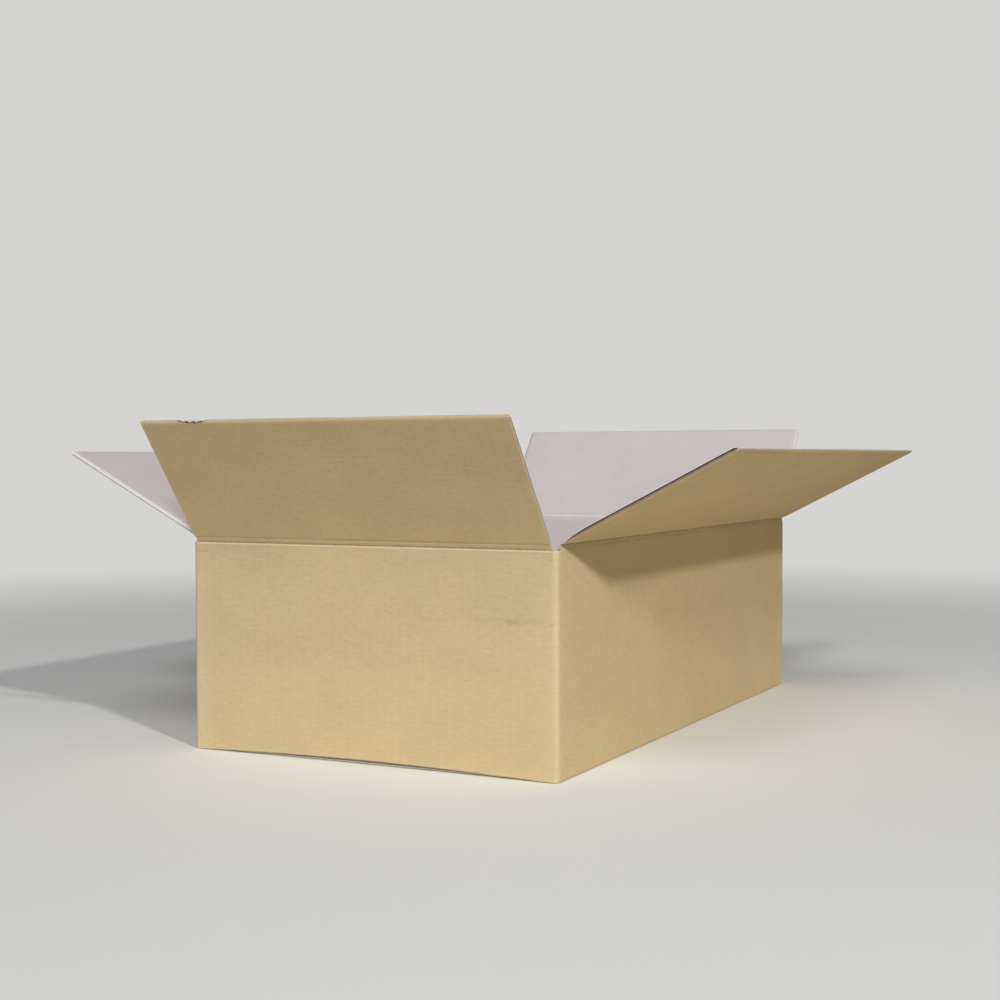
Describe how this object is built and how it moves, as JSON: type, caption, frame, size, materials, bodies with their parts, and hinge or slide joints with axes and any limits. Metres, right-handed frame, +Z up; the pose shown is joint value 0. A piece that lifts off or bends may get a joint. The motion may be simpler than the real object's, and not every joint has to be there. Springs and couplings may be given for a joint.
{
  "type": "cardboard shipping box",
  "caption": "Long, low corrugated cardboard shipping box, open, with a closed bottom and hinged top flaps that fold in over the contents or back against the walls.",
  "frame": {"origin": "on the floor under the middle of the box", "axes": "+X along the box's length towards the right end flap, +Y towards the rear long flap, +Z up"},
  "size_m": [0.8296, 0.7014, 0.3156],
  "materials": {
    "kraft_board": "matt kraft paper outside and matt off-white paper inside, on corrugated board"
  },
  "bodies": {
    "box_body": {"box_body": "kraft_board"},
    "left_end_flap": {"left_end_flap": "kraft_board"},
    "right_end_flap": {"right_end_flap": "kraft_board"},
    "front_long_flap": {"front_long_flap": "kraft_board"},
    "rear_long_flap": {"rear_long_flap": "kraft_board"}
  },
  "joints": [
    {"name": "left_end_crease", "type": "hinge", "parent": "box_body", "child": "left_end_flap", "pos_m": [-0.3325, 0, 0.2], "axis": [0, -1, 0], "range_deg": [-126, 134]},
    {"name": "right_end_crease", "type": "hinge", "parent": "box_body", "child": "right_end_flap", "pos_m": [0.3325, 0, 0.2], "axis": [0, 1, 0], "range_deg": [-126, 134]},
    {"name": "front_long_crease", "type": "hinge", "parent": "box_body", "child": "front_long_flap", "pos_m": [0, -0.193, 0.2043], "axis": [1, 0, 0], "range_deg": [-153, 107]},
    {"name": "rear_long_crease", "type": "hinge", "parent": "box_body", "child": "rear_long_flap", "pos_m": [0, 0.193, 0.2043], "axis": [-1, 0, 0], "range_deg": [-153, 107]}
  ]
}
